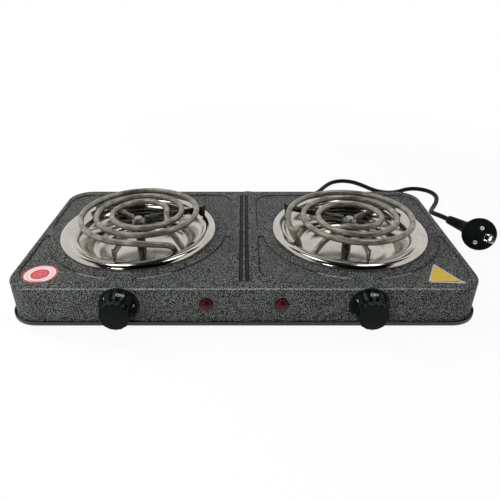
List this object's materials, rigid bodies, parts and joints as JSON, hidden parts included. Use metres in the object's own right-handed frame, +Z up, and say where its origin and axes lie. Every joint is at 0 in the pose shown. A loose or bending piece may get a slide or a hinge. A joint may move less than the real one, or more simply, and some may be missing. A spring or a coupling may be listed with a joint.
{
  "type": "hot plate burner",
  "caption": "Low steel-cased table hot plate: spiral tube burners on drip pans, front dials and pilot lamps, and a mains lead with an angled plug.",
  "frame": {"origin": "on the table, below the middle of the box round the plate without its mains lead", "axes": "+X to the right seen from the front, +Y to the back, +Z up"},
  "size_m": [0.5607, 0.4198, 0.0753],
  "materials": {
    "hammered_coat": "dark grey powder coat with a light vein pattern",
    "base_coat": "satin black",
    "foot_rubber": "matt",
    "zinc_steel": "zinc plated",
    "polished_pan": "mirror polished stainless steel",
    "element_sheath": "annealed sheath, satin, grey olive",
    "support_steel": "bright stamped steel",
    "white_ceramic": "unglazed",
    "brass": "plain",
    "knob_plastic": "glossy phenolic",
    "red_lens": "dark red, glossy",
    "neon_glass": "clear",
    "cord_plastic": "soft black",
    "plated_contact": "nickel plated"
  },
  "bodies": {
    "chassis": {"casing": "hammered_coat", "base_plate": "base_coat", "front_left_foot": "foot_rubber", "front_right_foot": "foot_rubber", "rear_left_foot": "foot_rubber", "rear_right_foot": "foot_rubber", "foot_screws": "zinc_steel", "foot_nuts": "zinc_steel", "base_screws": "zinc_steel", "left_drip_pan": "polished_pan", "right_drip_pan": "polished_pan", "left_heating_coil": "element_sheath", "right_heating_coil": "element_sheath", "left_coil_support": "support_steel", "right_coil_support": "support_steel", "left_centre_bolt": "zinc_steel", "right_centre_bolt": "zinc_steel", "left_centre_nut": "zinc_steel", "right_centre_nut": "zinc_steel", "left_cross_strap": "zinc_steel", "right_cross_strap": "zinc_steel", "left_element_block": "white_ceramic", "right_element_block": "white_ceramic", "element_screws": "brass", "left_thermostat_frame": "zinc_steel", "right_thermostat_frame": "zinc_steel", "left_insulators": "white_ceramic", "right_insulators": "white_ceramic", "left_contact_blades": "brass", "right_contact_blades": "brass", "left_stack_rivet": "zinc_steel", "right_stack_rivet": "zinc_steel", "thermostat_screws": "zinc_steel", "left_lamp_lens": "red_lens", "right_lamp_lens": "red_lens", "left_neon_lamp": "neon_glass", "right_neon_lamp": "neon_glass", "left_lamp_clip": "zinc_steel", "right_lamp_clip": "zinc_steel", "cord_gland": "cord_plastic", "inner_cord": "cord_plastic", "cord_clamp": "cord_plastic", "clamp_screws": "zinc_steel", "mains_block": "white_ceramic", "mains_screws": "brass", "earth_screw": "brass", "power_cord": "cord_plastic", "plug_body": "cord_plastic", "plug_pins": "plated_contact", "plug_earth_clip": "plated_contact"},
    "left_dial": {"left_knob": "knob_plastic", "left_shaft": "zinc_steel"},
    "right_dial": {"right_knob": "knob_plastic", "right_shaft": "zinc_steel"}
  },
  "joints": [
    {"name": "left_knob_turn", "type": "hinge", "parent": "chassis", "child": "left_dial", "pos_m": [-0.122, -0.11, 0.0325], "axis": [0, 1, 0], "range_deg": [0, 300]},
    {"name": "right_knob_turn", "type": "hinge", "parent": "chassis", "child": "right_dial", "pos_m": [0.122, -0.11, 0.0325], "axis": [0, 1, 0], "range_deg": [0, 300]}
  ]
}
